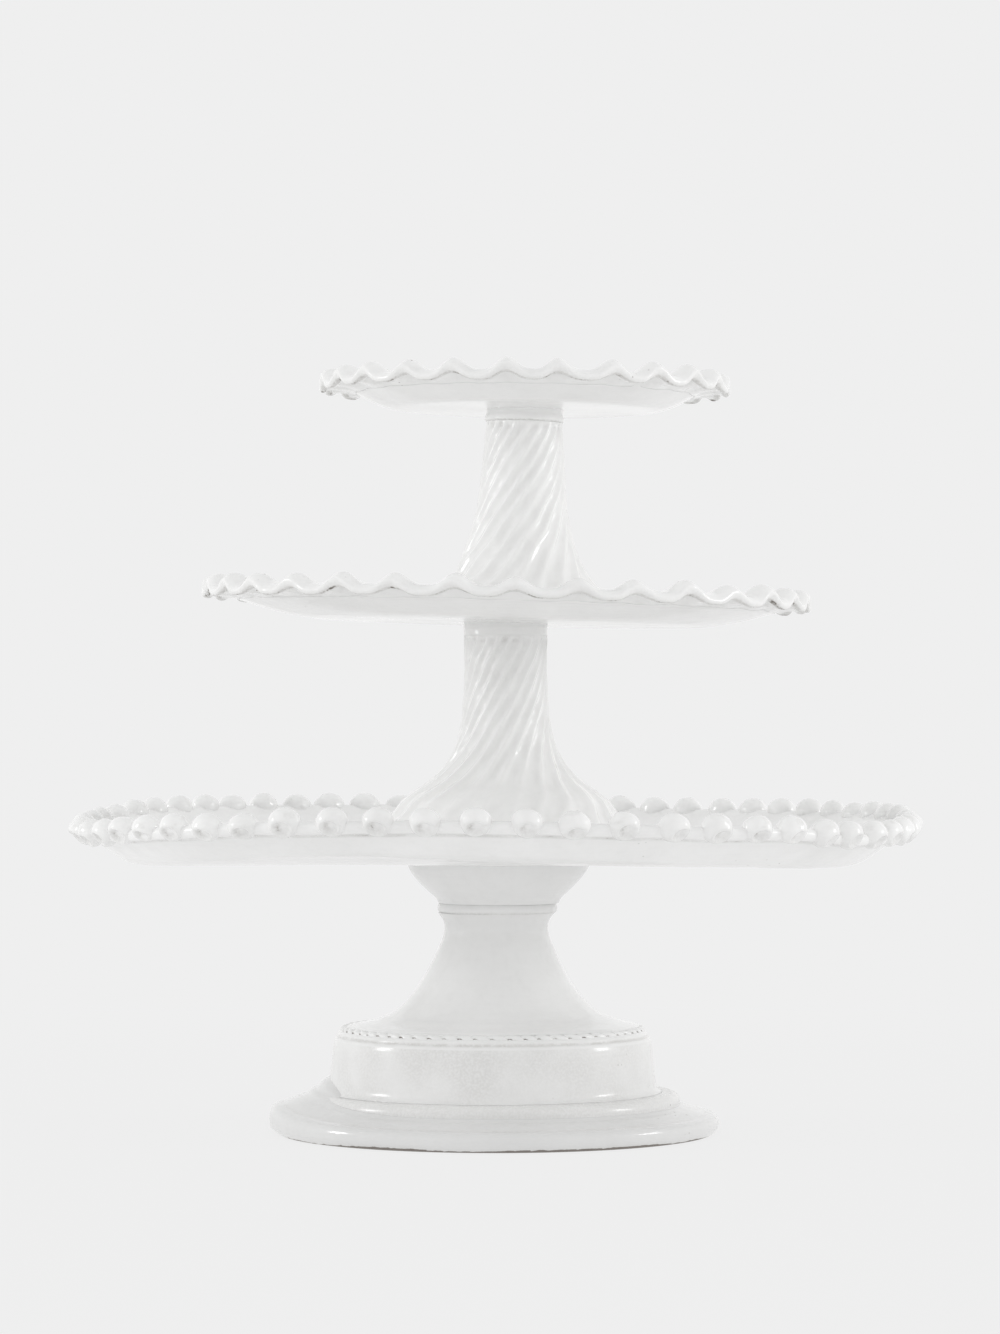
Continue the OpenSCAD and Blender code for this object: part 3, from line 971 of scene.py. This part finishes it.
camera_data = bpy.data.cameras.new("Camera")
camera_data.lens = 120.36
camera_data.sensor_fit = "VERTICAL"
camera_data.sensor_height = 36
camera_data.clip_end = 50
camera = bpy.data.objects.new("Camera", camera_data)
camera.location = (0.00187, -2.090, 0.1954)
camera.rotation_euler = (math.radians(90 + 0.6166), 0, 0)
bpy.context.scene.collection.objects.link(camera)
bpy.context.scene.camera = camera
bpy.context.scene.view_settings.view_transform = "Standard"

PAPER = 0.863
FLOOR_R = 3.0
FLOOR_DIFFUSE = 0.07
FLOOR_LIGHT = 1.0
FRONT_LIGHT = 0.96
BACK_LIGHT = 0.97
TOP_LIGHT = 0.78
SOFTBOX = 0.3
SOFTBOX_AWAY = 1.5
SOFTBOX_POWER = 3.0


def paper_floor():
    """Pale paper: mostly an even glow, with a little shade close to the object."""
    rings = [0, 0.15, 0.3, 0.5, 0.8, 1.3, FLOOR_R]
    n = 64
    verts = [(0, 0, 0)]
    faces = []
    for k, radius in enumerate(rings[1:]):
        for j in range(n):
            a = 2 * math.pi * j / n
            verts.append((radius * math.cos(a), radius * math.sin(a), 0))
            nxt = (j + 1) % n
            if k == 0:
                faces.append((0, 1 + j, 1 + nxt))
            else:
                a0, a1 = 1 + (k - 1) * n, 1 + k * n
                faces.append((a0 + j, a1 + j, a1 + nxt, a0 + nxt))
    mesh = bpy.data.meshes.new("Floor")
    mesh.from_pydata(verts, [], faces)
    floor = bpy.data.objects.new("Floor", mesh)
    bpy.context.scene.collection.objects.link(floor)
    material = bpy.data.materials.new("Paper")
    material.use_nodes = True
    tree = material.node_tree
    tree.nodes.clear()
    n = Nodes(tree)
    place = n.add("ShaderNodeNewGeometry").outputs["Position"]
    away = n.add("ShaderNodeVectorMath", {0: place}, operation="LENGTH").outputs["Value"]
    near = n.band(away, 0.35, 0.9, 1.0, 0.0)
    share = n.math("MULTIPLY", near, FLOOR_DIFFUSE)
    glow = n.math("SUBTRACT", PAPER, n.math("MULTIPLY", share, FLOOR_LIGHT))
    shade = n.add("ShaderNodeCombineColor", {"Red": share, "Green": share, "Blue": share})
    diffuse = n.add("ShaderNodeBsdfDiffuse", {"Color": shade.outputs[0]})
    emit = n.add("ShaderNodeEmission", {"Color": (1, 1, 1, 1), "Strength": glow})
    both = n.add("ShaderNodeAddShader", {0: diffuse.outputs[0], 1: emit.outputs[0]})
    output = n.add("ShaderNodeOutputMaterial")
    tree.links.new(both.outputs[0], output.inputs[0])
    mesh.materials.append(material)


def studio_world():
    """An even pale backdrop for the camera. As light it is dimmer from the camera's side."""
    world = bpy.data.worlds.new("Studio")
    bpy.context.scene.world = world
    world.use_nodes = True
    tree = world.node_tree
    tree.nodes.clear()
    n = Nodes(tree)
    direction = n.add("ShaderNodeTexCoord").outputs["Generated"]
    axes = n.add("ShaderNodeSeparateXYZ", {0: direction}).outputs
    level = n.band(axes["Y"], -0.9, 0.5, FRONT_LIGHT, BACK_LIGHT)
    high = n.band(axes["Z"], 0.2, 1.0)
    level = n.math("ADD", n.math("MULTIPLY", level, n.math("SUBTRACT", 1.0, high)),
                   n.math("MULTIPLY", high, TOP_LIGHT))
    light = n.add("ShaderNodeBackground", {"Color": (1, 1, 1, 1), "Strength": level})
    backdrop = n.add("ShaderNodeBackground", {"Color": (1, 1, 1, 1), "Strength": PAPER})
    seen = n.add("ShaderNodeLightPath").outputs["Is Camera Ray"]
    both = n.add("ShaderNodeMixShader", {0: seen, 1: light.outputs[0], 2: backdrop.outputs[0]})
    output = n.add("ShaderNodeOutputWorld")
    tree.links.new(both.outputs[0], output.inputs[0])


def softbox(name, azimuth, elevation):
    """A square studio light aimed at the object. Azimuth 0 is in front."""
    a, e = math.radians(azimuth), math.radians(elevation)
    aim = Vector((0, 0, 0.17))
    towards = Vector((math.sin(a) * math.cos(e), -math.cos(a) * math.cos(e), math.sin(e)))
    place = aim + SOFTBOX_AWAY * towards
    light = bpy.data.lights.new(name, "AREA")
    light.shape = "SQUARE"
    light.size = SOFTBOX
    light.energy = SOFTBOX_POWER
    lamp = bpy.data.objects.new(name, light)
    lamp.location = place
    lamp.rotation_euler = (aim - place).to_track_quat("-Z", "Y").to_euler()
    bpy.context.scene.collection.objects.link(lamp)


paper_floor()
studio_world()
softbox("SoftboxLeft", -86, 12)
softbox("SoftboxRight", 86, 13)
